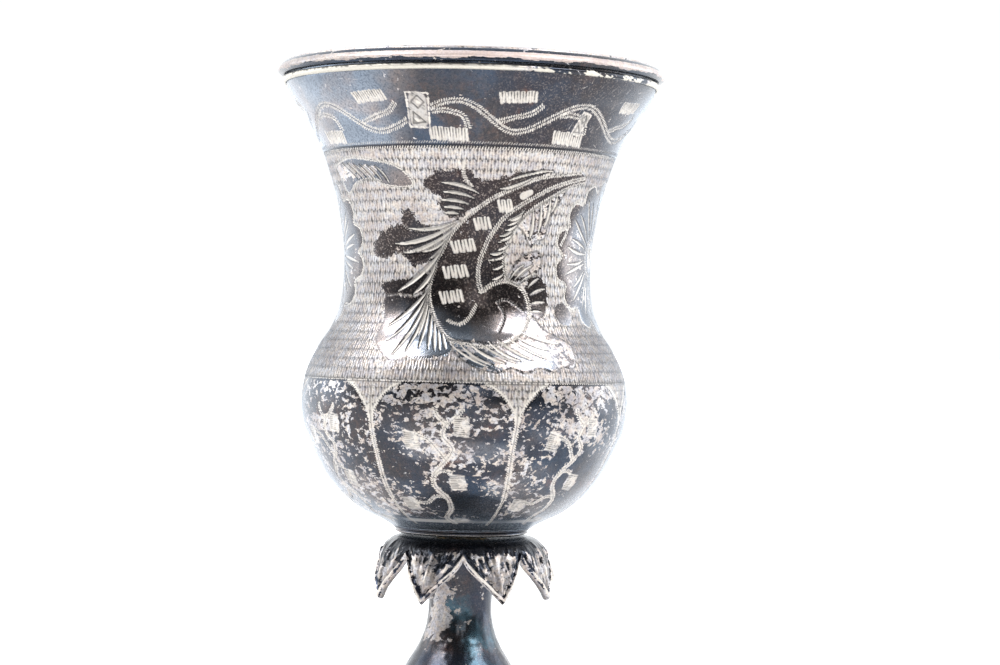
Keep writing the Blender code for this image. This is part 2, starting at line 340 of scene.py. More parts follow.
    def hatch(self, mask, top, bottom, row_height=2.0, pitch=1.2):
        """Rows of zigzag cuts over the ground between two heights, where the mask is 0."""
        rows = slice(self.row(top), self.row(bottom) + 1)
        s = self.s[rows] - self.s[rows][0]
        count = max(int(round(s[-1] / row_height)), 1)
        band = np.minimum((s / s[-1] * count).astype(int), count - 1)
        across = (s / s[-1] * count - band)[:, None]
        wander, drift = (soft_noise(count + 1, self.columns, count, cells)[:count] for cells in (90, 9))
        phase = rng.uniform(0, 1, count)
        turns = np.array([round(math.tau * self.r[rows][band == b].mean() / pitch) for b in range(count)])
        p = (self.angle[None, :] / 360 + 0.5) * turns[band][:, None]
        p = p + phase[band][:, None] + 0.3 * wander[band] + 0.8 * drift[band]
        q = p - np.floor(p)
        first, second = 0.25 + 0.16 * (across - 0.5), 0.75 - 0.16 * (across - 0.5)
        gap = np.minimum(np.abs(q - first), np.abs(q - second)) * pitch
        width = 0.27 * (0.5 + 0.5 * np.sin(math.pi * np.clip(across, 0, 1)) ** 0.5)
        ground = 1 - mask[rows]
        inside = np.clip(1 - gap / width, 0, 1)
        noises = ((count * 2, 170), (count * 4, 420), (max(count // 3, 1), 26))
        tone, mottle, close = (soft_noise(len(s), self.columns, *cells) for cells in noises)
        self.relief[rows] = np.minimum(self.relief[rows], -0.1 * inside * ground)

        z, angle = self.z[rows][:, None], self.angle[None, :]
        # painted shade: the cuts are dimmer and darker round the shoulder, near 107 mm, and at the sides,
        # near 68° either way
        shoulder = 1 - 0.6 * bell(z, 107, 6)
        sides = bell(np.abs(angle), 68, 24)
        lit = (0.04 + 0.42 * ramp(inside, 0.0, 0.8)) * (0.84 + 0.24 * tone + 0.2 * mottle + 0.14 * close)
        self.bright[rows] = np.maximum(self.bright[rows], lit * shoulder * ground * (1 - 0.3 * sides))
        row_edge = np.abs(across - 0.5)
        ends = ramp(row_edge, 0.22, 0.5) * ramp(gap, 0.08, 0.24)
        between = ramp(gap, 0.16, 0.32) * (1.05 - 0.5 * shoulder)
        seam = ramp(row_edge, 0.42, 0.5) * 0.35
        smooth = bell(z, 133, 7) * bell(angle, -46, 14)
        deep = bell(z, 117, 8) * bell(angle, -48, 12)
        harsh = 0.66 + 0.35 * bell(z, 141.5, 3.5) + 0.5 * deep - 0.45 * smooth + 0.75 * close + 0.6 * mottle
        dirt = (1.15 * ends + between) * np.clip(harsh, 0.1, 1.3) + seam * (0.6 + 0.6 * tone)
        # the shoulder and side terms add painted shade to the dirt
        dirt = dirt + 0.55 * (1 - shoulder) + 0.3 * sides + 0.05 + 0.1 * deep
        self.stain[rows] = np.maximum(self.stain[rows], np.clip(dirt, 0, 0.95) * ground)
        self.wear[rows] = np.maximum(self.wear[rows], ground)

    def flame(self, root, tip, width, bow=0.0, core=0.0, outline=0.85):
        """A flame-shaped cut between two (angle, height) points, bowed by some mm, with one side in shade."""
        s0, s1 = float(self.down(root[1])), float(self.down(tip[1]))
        scale = float(self.radius((s0 + s1) / 2)) * RADIAN
        dx, dy = (tip[0] - root[0]) * scale, s1 - s0
        length = math.hypot(dx, dy) + 1e-9
        steps = 6

        def at(t, aside=0.0):
            side = (4 * bow * t * (1 - t) + aside) / length
            return root[0] + (dx * t + dy * side) / scale, s0 + dy * t - dx * side

        def wide(t):
            return width * (0.2 + 0.8 * math.sin(math.pi * t ** 1.15))

        spans = [(i / steps, (i + 1) / steps) for i in range(steps)]
        for a, b in spans:
            self.blot(self.stain, at(a), at(b), wide(a) * 1.3 + 0.2, wide(b) * 1.3 + 0.2, outline, 0.3)
        for a, b in spans:
            where, inside = self.near(at(a), at(b), wide(a), wide(b))
            self.stain[where] *= 1 - ramp(inside, 0.0, 0.3)
            self.stroke(at(a), at(b), wide(a), wide(b), 0.15, rng.uniform(0.8, 0.95))
        if core:
            for a, b in spans[:-1]:
                ends = [at(t, -0.42 * wide(t)) for t in (a, b)]
                self.stroke(*ends, wide(a) * 0.5, wide(b) * 0.5, 0.16, 0.0, core)

    def mesh(self, name, top, bottom, material, wall):
        """A closed body of the rows between two heights, with the relief on its outer face."""
        inner_step = 8  # the inner face is smooth, and takes only every eighth row
        first, last = self.row(top), self.row(bottom)
        picked = slice(first, last + 1)
        turn = self.angle * RADIAN
        lines = [[line[:, None] for line in pair] for pair in ((self.r, self.nr), (self.z, self.nz))]
        outer = rings(*(line[picked] + normal[picked] * self.relief[picked] for line, normal in lines), turn)
        back = np.arange(last, first - 1, -1)[::inner_step]
        if back[-1] != first:
            back = np.append(back, first)
        inner = rings(*(line[back] - normal[back] * wall for line, normal in lines), turn)
        blank = np.zeros((len(back), self.columns))
        maps = {key: np.concatenate([getattr(self, key)[picked], blank]) for key in self.MAPS}
        grid = np.concatenate([outer, inner])
        return loop_mesh(name, grid, material, maps, flat_after=(len(outer) - 1, len(grid) - 1))


def loop_mesh(name, grid, material, maps, flat_after=()):
    """A closed body from rings of points (mm): each ring joins the next and the last joins the first."""
    ring_count, columns, _ = grid.shape
    made = bpy.data.meshes.new(name)
    index = np.arange(ring_count * columns).reshape(ring_count, columns)
    below = np.roll(index, -1, 0)
    quads = np.stack([index, below, np.roll(below, -1, 1), np.roll(index, -1, 1)], -1).reshape(-1, 4)
    made.vertices.add(ring_count * columns)
    made.vertices.foreach_set("co", (grid.reshape(-1) * MM).astype(np.float32))
    made.loops.add(quads.size)
    made.loops.foreach_set("vertex_index", quads.reshape(-1).astype(np.int32))
    made.polygons.add(len(quads))
    made.polygons.foreach_set("loop_start", np.arange(0, quads.size, 4, dtype=np.int32))
    smooth = np.ones((ring_count, columns), bool)
    smooth[list(flat_after)] = False
    made.update(calc_edges=True)
    made.polygons.foreach_set("use_smooth", smooth.reshape(-1))
    for key, values in maps.items():
        layer = made.attributes.new(key, "FLOAT", "POINT")
        layer.data.foreach_set("value", np.asarray(values, np.float32).reshape(-1))
    made.materials.append(material)
    made.validate()
    obj = bpy.data.objects.new(name, made)
    bpy.context.scene.collection.objects.link(obj)
    return obj


def turned(name, outline, columns, material, wear=0.3, rough=0.0, **looks):
    """A closed turned body. The outline (radius, height) runs all the way round its section.

    wear and the other looks are numbers or functions of the angle and the height.
    """
    p = np.array(outline, float)
    turn = (np.arange(columns) / columns * 360 - 180) * RADIAN
    r, z = (np.repeat(axis[:, None], columns, 1) for axis in p.T)
    if rough:
        lumps, sags = (soft_noise(len(p), columns, max(len(p) // 3, 2), 60) * rough for _ in range(2))
        r, z = r + lumps * (r > 0.5), z + sags * 0.5
    degrees = np.degrees(turn)[None, :] + 0 * r
    looks = {"wear": wear, "film": 0.04, **looks}
    maps = {key: (value(degrees, z) if callable(value) else value) + 0 * r for key, value in looks.items()}
    return loop_mesh(name, rings(r, z, turn), material, maps)


def place(obj, slot, *nodes):
    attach(obj, "root")
    if nodes:
        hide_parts(*nodes)


# ---------------------------------------------------------------- materials
class Nodes:
    """Short calls for building the nodes of a material or a world."""

    def __init__(self, owner, shader="Principled BSDF"):
        owner.use_nodes = True
        self.tree = owner.node_tree
        self.shader = self.tree.nodes[shader]

    def link(self, value, socket):
        if isinstance(value, bpy.types.NodeSocket):
            self.tree.links.new(value, socket)
        else:
            socket.default_value = value

    def fill_in(self, node, values):
        for key, value in values.items():
            self.link(value, node.inputs[key])

    def make(self, kind, **settings):
        node = self.tree.nodes.new(kind)
        for key, value in settings.items():
            setattr(node, key, value)
        return node

    def math(self, operation, *values):
        node = self.make("ShaderNodeMath", operation=operation)
        for socket, value in zip(node.inputs, values):
            self.link(value, socket)
        return node.outputs[0]

    def mix(self, factor, a, b, mode="MIX"):
        node = self.make("ShaderNodeMix", data_type="RGBA", blend_type=mode)
        self.link(factor, node.inputs["Factor"])
        for key, value in (("A", a), ("B", b)):
            socket = [s for s in node.inputs if s.name == key and s.type == "RGBA"][0]
            self.link((*value, 1.0) if isinstance(value, tuple) else value, socket)
        return [s for s in node.outputs if s.type == "RGBA"][0]

    def range(self, value, low, high, to_low=0.0, to_high=1.0):
        node = self.make("ShaderNodeMapRange", interpolation_type="SMOOTHSTEP")
        ends = {"From Min": low, "From Max": high, "To Min": to_low, "To Max": to_high}
        self.fill_in(node, {"Value": value, **ends})
        return node.outputs[0]

    def over(self, base, colour, value, low, high, amount=1.0):
        """A colour laid over a base by an amount, where a value rises from low to high."""
        return self.mix(self.range(value, low, high, 0.0, amount), base, colour)

    def coordinate(self, name):
        return self.make("ShaderNodeTexCoord").outputs[name]

    def noise(self, scale, detail=4.0, roughness=0.55, stretch=(1, 1, 1), offset=0.0, distortion=0.0):
        mapping = self.make("ShaderNodeMapping")
        where = self.coordinate("Object")
        self.fill_in(mapping, {"Vector": where, "Scale": stretch, "Location": (offset,) * 3})
        node = self.make("ShaderNodeTexNoise")
        self.fill_in(node, {"Vector": mapping.outputs[0], "Scale": scale, "Detail": detail,
                            "Roughness": roughness, "Distortion": distortion})
        return node.outputs["Fac"]

    def attribute(self, name):
        return self.make("ShaderNodeAttribute", attribute_name=name).outputs["Fac"]


def silver(name, base_wear=0.0, blue=0.35, brown=0.5, patch_scale=560.0, shade=1.0, haze=0.3,
           cut_tone=(0.69, 0.645, 0.59), blue_tone=(0.03, 0.075, 0.14)):
    """Engraved silver: bare metal in the cuts and in ragged patches, dark tarnish elsewhere."""
    material = bpy.data.materials.new(name)
    n = Nodes(material)
    bright, wear, stain, grain, film = (n.attribute(key) for key in Skin.MAPS)
    patches = n.noise(patch_scale, 5.0, 0.62, (1, 1, 1.35), distortion=0.35)
    wide = n.noise(patch_scale * 0.28, 3.0, 0.5, offset=3.7)
    fine = n.noise(2600.0, 3.0, 0.6)
    spread = n.math("MULTIPLY_ADD", n.math("ADD", wear, base_wear), 0.55, -0.5)
    spread = n.math("ADD", n.math("MULTIPLY_ADD", wide, 0.35, -0.175), n.math("ADD", patches, spread))
    patch = n.range(spread, 0.175, 0.205)
    cuts = n.range(bright, 0.15, 0.75)
    bare = n.math("MAXIMUM", patch, cuts)

    tones = ((0.53, 0.46, 0.45), (0.73, 0.665, 0.645), (0.14, 0.13, 0.135), cut_tone)
    rosy, pale, grey, cream = (tuple(c * shade for c in tone) for tone in tones)
    metal = n.over(rosy, pale, n.noise(260.0, 5.0, 0.6, offset=1.3), 0.36, 0.64)
    fleck = n.over((1.0, 0.975, 0.90), (0.88, 0.94, 1.0), n.noise(900.0, 3.0, 0.6, offset=9.3), 0.42, 0.58)
    metal = n.mix(1.0, metal, fleck, "MULTIPLY")
    metal = n.over(metal, grey, fine, 0.40, 0.70, 0.6)
    metal = n.over(metal, cream, bright, 0.1, 0.75, 0.9)

    hue = n.noise(70.0, 4.0, 0.55, offset=8.1)
    rust = n.noise(150.0, 6.0, 0.65, offset=5.2)
    rust_spots = n.range(n.noise(1000.0, 4.0, 0.65, offset=4.4), 0.50, 0.64, 0.0, 0.55 * brown)
    speck = n.range(n.noise(2700.0, 3.0, 0.7, offset=6.6), 0.52, 0.66)
    dark = n.over((0.010, 0.017, 0.034), (0.017, 0.0185, 0.024), hue, 0.38, 0.62)
    dark = n.over(dark, (0.10, 0.045, 0.034), rust, 0.52, 0.72, brown)
    dark = n.over(dark, (0.26, 0.11, 0.06), rust, 0.62, 0.72, min(1.6 * brown, 1.0))
    dark = n.mix(n.math("MULTIPLY", rust_spots, n.range(hue, 0.40, 0.60)), dark, (0.16, 0.085, 0.06))
    dark = n.over(dark, blue_tone, n.noise(120.0, 5.0, 0.6, offset=2.2), 0.49, 0.68, blue)
    dark = n.mix(n.math("MULTIPLY", grain, 0.75), dark, (0.025, 0.016, 0.0135))
    speck = n.math("MULTIPLY", speck, n.math("MULTIPLY_ADD", grain, 0.55, 0.06))
    dark = n.mix(speck, dark, (0.30, 0.25, 0.225))
    # the colour where film is high: a thin tarnish, and painted haze and sheen
    thin = n.over((0.28, 0.325, 0.39), (0.39, 0.33, 0.31), hue, 0.38, 0.62)
    thin = n.over(thin, (0.05, 0.07, 0.10), fine, 0.42, 0.66, 0.55)
    dark = n.mix(film, dark, thin)
    # stain darkens to near-black: dirt, and painted shade
    colour = n.mix(n.math("MULTIPLY", stain, 0.85), n.mix(bare, dark, metal), (0.014, 0.015, 0.018))

    rough = n.math("ADD", n.range(bare, 0.0, 1.0, 0.24, 0.46), n.range(cuts, 0.0, 1.0, 0.0, 0.1))
    rough = n.math("SUBTRACT", rough, n.math("MULTIPLY", film, 0.06))
    rough = n.math("ADD", rough, n.range(fine, 0.3, 0.7, -0.03, 0.08))
    lumps = n.math("MULTIPLY", n.noise(1100.0, 4.0, 0.6), 1.4)
    bump = n.make("ShaderNodeBump")
    n.fill_in(bump, {"Strength": 0.35, "Distance": 0.03 * MM,
                     "Height": n.math("ADD", n.math("MULTIPLY", patch, 0.6), lumps)})
    n.fill_in(n.shader, {
        "Base Color": colour, "Metallic": 1.0, "Roughness": rough, "Normal": bump.outputs[0],
        "Coat Weight": 0.3, "Coat Roughness": 0.22,
        "Sheen Weight": haze, "Sheen Roughness": 0.35, "Sheen Tint": (0.72, 0.84, 1.0, 1.0),
    })
    return material


def brass(name):
    material = bpy.data.materials.new(name)
    n = Nodes(material)
    mottle = n.noise(300.0, 5.0, 0.6)
    colour = n.over((0.30, 0.19, 0.08), (0.62, 0.45, 0.20), mottle, 0.35, 0.65)
    colour = n.over(colour, (0.10, 0.07, 0.05), n.noise(1400.0), 0.45, 0.7, 0.6)
    rough = n.range(mottle, 0.3, 0.7, 0.30, 0.48)
    n.fill_in(n.shader, {"Base Color": colour, "Metallic": 1.0, "Roughness": rough})
    return material


# ---------------------------------------------------------------- bowl
def cut_frieze(skin):
    """A wavy vine with small blocks of cuts above and below it."""
    crests = [-161, -110, -57, -4, 42, 95, 147]
    dips = [-135, -84, -33, 17, 67, 121, 172]
    vine = sorted([(a, 153.1) for a in crests] + [(a, 147.7) for a in dips])
    end = (vine[0][0] + 360, vine[0][1])
    skin.ribbon([*vine, end, end], 0.38)
    for a in dips:
        skin.block(a - 1, 153.9, 7.2, 2.2, 13, tilt=-4)
        skin.ribbon([(a - 7, 149.4), (a - 1, 150.3), (a + 5, 151.2), (a + 8, 152.6)], 0.32)
    for a in crests:
        skin.block(a - 3, 147.1, 7.2, 2.2, 13, tilt=3)
        skin.ribbon([(a - 9, 151.0), (a - 4, 151.3), (a + 2, 150.4), (a + 4, 148.2)], 0.32)
    skin.mark(-17, 151.4, 4.1, 7.2, 3)
    skin.mark(43, 149.9, 2.2, 4.6, 14)


def fill(skin, mask, path, ragged=0.0, amount=1.0):
    """Raises a mask inside a closed path of (angle, height), with an edge that strays by about ragged mm."""
    pitch = 0.35  # mm between the points that stray
    p = curve([*path, path[0]], 10)
    px, py = p[:, 0], skin.down(p[:, 1])
    if ragged:
        scale = skin.radius(py) * RADIAN
        run = run_along(np.diff(px) * scale[1:], np.diff(py))
        at = np.linspace(0, run[-1], int(run[-1] / pitch) + 2)
        px, py, scale = (np.interp(at, run, v) for v in (px, py, scale))
        px = px + rng.normal(0, ragged, len(px)) / scale
        py = py + rng.normal(0, ragged, len(py))
    cell = skin.s[1]
    rows = slice(max(int(py.min() / cell), 0), min(int(py.max() / cell) + 2, skin.rows))
    columns, x = skin.columns_between(px.min(), px.max())
    y = skin.s[rows][:, None]
    inside = np.zeros((len(y), len(x)), bool)
    for x0, y0, x1, y1 in zip(np.roll(px, 1), np.roll(py, 1), px, py):
        if y0 != y1:
            inside ^= ((y0 > y) != (y1 > y)) & (x < (x1 - x0) * (y - y0) / (y1 - y0) + x0)
    at = (rows, columns % skin.columns)
    mask[at] = np.maximum(mask[at], inside * amount)


def cut_flower(skin, plain, centre):
    """The field's main motif: a bud on a curved stem, edged with lobed leaves and flame-shaped cuts."""
    def moved(points):
        return [(a + centre, z) for a, z in points]

    outer = [(52, 141.2), (41, 140.5), (30, 139.6), (18, 137.3), (8, 134.7), (-2, 131.1), (-7.5, 128.2),
             (-11, 125.4), (-13.8, 123.2), (-15.7, 120.1), (-16, 117), (-14.1, 114.2), (-10.8, 111.6),
             (-5.9, 109.2), (1, 108.2), (9, 107.8), (17, 108.7), (24.5, 111), (29, 114.3), (27.5, 117.9),
             (23, 119.6), (17.5, 120.2), (12, 119.5), (7, 118)]
    inner = [(55, 140.2), (44, 139), (33.5, 137.1), (18.5, 132.9), (11.5, 129.1), (6.8, 124.6), (5.6, 121),
             (7, 118)]
    side = [(56, 139.2), (47, 138.2), (38, 136.2), (28, 133.4), (22.5, 130.3), (18.4, 126.9), (17.3, 123.9),
            (18.5, 120.7)]
    lobes = [
        [(-4.6, 131.6), (-7.8, 132.2), (-11.8, 133.6), (-11.4, 135.6), (-15.5, 136.6), (-18.8, 138.3),
         (-15.5, 139.3), (-11.7, 140.3), (-6, 140.4), (-2.2, 140.9), (0.8, 140.8), (3.4, 139.5), (8.7, 138.9),
         (13, 139.3), (18.1, 140.3), (27, 141.1), (36, 141), (24, 138.2), (10, 135)],
        [(-13, 130.6), (-20.7, 130.8), (-25.9, 133.6), (-29.6, 131.9), (-28.5, 130), (-20, 129.2)],
        [(-9, 129.5), (-24, 129.3), (-29.5, 130.4), (-38.6, 129.7), (-45.7, 127.2), (-46.2, 124.6),
         (-40, 124.1), (-33, 124.9), (-26, 125.4), (-14, 127)],
        [(-9, 127.6), (-20, 125.4), (-28.8, 125.4), (-28.6, 124.3), (-23.8, 122.9), (-18, 123.4),
         (-12, 124.4)],
        [(-13, 122.6), (-25.8, 120.4), (-34, 120.1), (-41.2, 119.3), (-40, 117.8), (-36, 117.2),
         (-31.6, 117.3), (-22, 117.2), (-15.5, 119.2)],
        [(-15.8, 118), (-22.9, 117), (-30, 117.2), (-38.6, 116.8), (-38.2, 114.8), (-36.5, 112.5),
         (-37.5, 109.5), (-34, 107), (-27, 104.8), (-20, 105.4), (-13, 105.4), (-6, 106.3), (-4, 108.8),
         (-14, 114.4)],
        [(-6.5, 109), (-2, 106), (4, 104), (12, 103), (17, 103.8), (22, 102.9), (28, 103.8), (33, 103.2),
         (38, 104.2), (42.5, 104), (45.4, 105.8), (45.6, 108.3), (41, 109.8), (35, 111.2), (30, 113.4),
         (24.5, 110.8), (16, 108.5)],
        [(28.5, 113.8), (33, 112.8), (37.5, 114.4), (39.8, 117), (39.2, 119.6), (34, 121.3), (29, 120.6),
         (27.5, 117.5)],
        [(18.5, 120.6), (21.5, 122.8), (27, 125.2), (34.8, 125.8), (35.4, 122.8), (30, 121.4), (24, 119.6)],
        [(22, 130.4), (25.5, 129.6), (29.7, 126.8), (33, 128), (36.9, 128.4), (38.2, 131.5), (41, 134.2),
         (46, 137.9), (38, 136), (28, 133.2)],
    ]
    worn_lobes = {6: 0.30, 8: 0.45, 9: 0.45}
    fill(skin, plain, moved(outer + inner[::-1]))
    fill(skin, plain, moved(inner + side[::-1]))
    for index, lobe in enumerate(lobes):
        lobe = moved(lobe)
        rim = [*lobe, lobe[0]]
        fill(skin, plain, lobe, ragged=0.26)
        if index in worn_lobes:
            fill(skin, skin.wear, lobe, ragged=0.26, amount=worn_lobes[index])
            skin.groove(rim, 0.3, 0.08, 0.75)
        skin.beads(rim, 0.0, 0.42, 0.5, width=0.12, bright=0.55)
    flames = [  # root, tip, half width, sideways bow in mm
        ((4.7, 136.4), (-10.3, 138.2), 0.55, -0.5), ((3.2, 135.4), (-10.2, 136.5), 0.5, -0.4),
        ((1, 134.3), (-10.8, 135.0), 0.5, -0.3), ((-1, 133.3), (-10.0, 133.7), 0.46, -0.2),
        ((-3, 132.4), (-9.6, 132.6), 0.42, -0.2), ((31, 140.6), (17, 138.9), 0.4, -0.3),
        ((27, 139.6), (13, 137.2), 0.42, 0.4), ((36, 141), (25, 140), 0.36, -0.3),
        ((-3, 131.3), (-26.8, 129.8), 0.5, 0.9), ((-5.2, 130.5), (-33.4, 126.8), 0.66, 1.0),
        ((-6.2, 129.4), (-28.6, 125.1), 0.6, 0.8), ((-7.5, 128.4), (-19.8, 125.3), 0.46, 0.6),
        ((-9.2, 127.2), (-16.6, 124), 0.42, 0.4), ((-10.4, 126.2), (-27.2, 119.2), 0.56, 0.8),
        ((-12, 124.9), (-31.2, 117.9), 0.6, 0.6), ((-13.8, 122.8), (-23.4, 117.4), 0.56, 0.5),
        ((-15.4, 118.8), (-33.2, 111.3), 0.5, 0.4), ((-16, 118.2), (-31.2, 108.6), 0.46, 0.5),
        ((-16.4, 117.6), (-26.9, 106), 0.5, 0.4), ((-16.6, 117), (-23.8, 109.2), 0.44, 0.3),
        ((-16.4, 116.4), (-21.8, 106.6), 0.46, 0.2), ((-16.2, 115.8), (-18.4, 109.6), 0.4, 0.1),
        ((-15.4, 115), (-16.8, 107.4), 0.42, 0.0), ((-14, 113.6), (-13.2, 107.2), 0.42, 0.0),
        ((-12.4, 112.2), (-10.6, 106.9), 0.4, 0.0), ((-10.6, 111), (-8.6, 106.9), 0.36, 0.0),
        ((-8.6, 110.2), (-6.4, 107.2), 0.34, 0.0), ((29, 119), (35.2, 120.9), 0.34, 0.2),
        ((29.6, 117.6), (38.2, 118.9), 0.38, 0.2), ((29.6, 116), (37.6, 116.4), 0.36, 0.1),
        ((29, 114.6), (35.2, 114.6), 0.32, 0.0), ((20, 120.4), (27, 123.4), 0.34, 0.2),
        ((22.4, 120.4), (31.4, 123.3), 0.36, 0.2), ((25, 120), (34.6, 121.9), 0.34, 0.2),
        ((29.5, 133.6), (29.2, 128.2), 0.44, 0.3), ((33, 134.8), (33.2, 129.2), 0.44, 0.3),
        ((37.5, 136), (36.2, 130.4), 0.42, 0.3), ((41, 136.9), (39.2, 133.4), 0.36, 0.2),
        ((25.4, 133.5), (18.2, 131.6), 0.42, 0.4), ((24.4, 132.2), (17.6, 130.5), 0.32, 0.3),
        ((21, 130.2), (14.8, 128.5), 0.42, 0.4), ((20.6, 129), (14.2, 127.4), 0.3, 0.3),
        ((17.2, 125.8), (10.8, 125.2), 0.42, 0.3), ((16.6, 124.6), (10, 124), 0.32, 0.2),
    ]
    for root, tip, width, bow in flames:
        core = rng.uniform(0.5, 0.9) if width > 0.33 else 0.0
        skin.flame(*moved((root, tip)), width * 0.95, bow, core)
    for k in range(9):
        t = k / 8
        root = (-5 + 29 * t, 108.2 + 2.4 * t * t)
        tip = (8 + 31 * t + rng.uniform(-2, 1.5), 103.9 + 0.6 * t + 3.8 * t ** 4 + rng.uniform(0, 0.8))
        width, bow = 0.32 + 0.05 * (k % 3), rng.uniform(-0.8, -0.3)
        skin.flame(*moved((root, tip)), width, bow, core=0.6 * (k % 2), outline=0.45)
    for k in range(7):
        a, z = 24.5 - 2.3 * k + 0.18 * k * k, 132.6 - 1.85 * k
        skin.flame(*moved([(a, z), (a - 5.2, z - 1.1)]), 0.3, 0.25)
    blocks = ((16.5, 134.2, 2.8, 5), (6.8, 130.8, 3.2, 5), (-1.2, 126.5, 4.6, 7), (-4.4, 121.7, 4.6, 7),
              (-6, 117.0, 4.3, 7))
    for angle, height, width, cuts in blocks:
        skin.block(angle + centre, height, width, 2.0, cuts, tilt=-7)
    glint = [(a, float(skin.down(z))) for a, z in moved(((24, 136.2), (27, 136.9)))]
    skin.blot(skin.bright, *glint, 0.9, 0.7, 0.6)
    crescent = [(-7, 112.6), (-2, 111.9), (2, 113.2), (5, 115.6)]
    skin.beads(moved(crescent), 0.0, 0.6, 0.4, width=0.17)
    for path in ([(14, 116.2), (17, 113.6), (14, 110.6)], [(14, 116.2), (19, 116.6), (26, 114.6)]):
        skin.groove(moved(path), 0.3, 0.1, 0.7)
        skin.beads(moved(path), 0.0, 0.4, 0.5, width=0.13, bright=0.7)
    curl = [(-1.4, 142.2), (-1.6, 140.4), (-0.7, 139), (1.8, 137.6)]
    skin.beads(moved(curl), 0.0, 0.6, 0.4, width=0.17)
    for path in (outer, inner, side):
        skin.ribbon(moved(path), 0.24)
    skin.ribbon(moved([(37.8, 133.4), (41.2, 134.4), (46.6, 133.2), (50.5, 130.3), (47.5, 127.4)]), 0.18)


def cut_rosette(skin, plain, centre):
    """The field's second motif: a round scalloped flower of radiating cuts, with a leaf above it."""
    middle, size, petals = 125.4, 14.6, 14
    s = float(skin.down(middle))
    scale = float(skin.radius(s)) * RADIAN

    def at(turn, out):
        return centre + out * math.cos(turn * RADIAN) / scale, middle + out * math.sin(turn * RADIAN)

    def scallop(turn):
        return size * (0.88 + 0.14 * abs(math.sin(petals * turn / 2 * RADIAN)) ** 0.6)

    rim = [at(t, scallop(t)) for t in np.arange(0, 360, 360 / petals / 4)]
    fill(skin, plain, rim)
    for mask, amount in ((skin.wear, 0.15), (skin.film, 0.42)):
        skin.blot(mask, (centre - 1, s), (centre + 1, s), size * 0.93, size * 0.93, amount, 0.2)
    for k in range(petals):
        turn = 360 * (k + 0.5) / petals
        for spread, first, last, width in ((-6, 4.4, 11.2, 0.5), (5, 4.0, 12.2, 0.62)):
            root, tip = at(turn + spread, first), at(turn + spread * 0.8, last * rng.uniform(0.94, 1.04))
            skin.flame(root, tip, width * 0.62, rng.uniform(-0.5, 0.5), core=0.4, outline=0.6)
    skin.ribbon([at(t, 3.6) for t in range(0, 361, 45)], 0.2)
    skin.block(centre, middle, 3.6, 3.6, 7)
    skin.ribbon([*rim, rim[0]], 0.2)
    circle = [(math.cos(t * RADIAN), math.sin(t * RADIAN)) for t in range(0, 360, 45)]
    drop = [(centre - 31 + 5.5 * c, 114.2 + 2.3 * s) for c, s in circle]
    fill(skin, plain, drop, ragged=0.2)
    skin.beads([*drop, drop[0]], 0.0, 0.4, 0.5, width=0.12, bright=0.6)

    leaf = [(20.5, 142), (35, 143.2), (49, 142.5), (60, 141.3), (66.2, 138.6), (64.6, 137.4), (54.4, 137.6),
            (46.6, 139), (35.5, 138.3), (27, 136.6)]
    leaf = [(centre + a, z) for a, z in leaf]
    fill(skin, plain, leaf)
    s = float(skin.down(140.6))
    skin.blot(skin.wear, (centre + 26, s), (centre + 48, s), 2.6, 1.4, 0.5, 0.7)
    fill(skin, skin.film, leaf, amount=0.42)
    skin.ribbon([*leaf, leaf[0]], 0.18)
    for k in range(6):
        root, tip = (centre + 28 + 4.2 * k, 142.4 - 0.2 * k), (centre + 38 + 3.4 * k, 139.0 - 0.15 * k)
        skin.flame(root, tip, 0.24 + 0.05 * (k % 2), 0.3, core=0.6)


PETALS = 7
PETAL_PITCH = 360 / PETALS
FIRST_EDGE = -32.5
ARCH_FOOT = 93.8
ARCH_WIDTH = 11.0  # degrees


def arch_rise(t):
    """How far up a petal's rounded shoulder is, from 0 to 1, at a fraction of its width."""
    return (1 - (1 - np.clip(t, 0, 1)) ** 1.5) ** (1 / 1.5)


def from_petal_edge(angle):
    """Degrees to the nearest edge between two petals."""
    return np.abs((angle - FIRST_EDGE + PETAL_PITCH / 2) % PETAL_PITCH - PETAL_PITCH / 2)


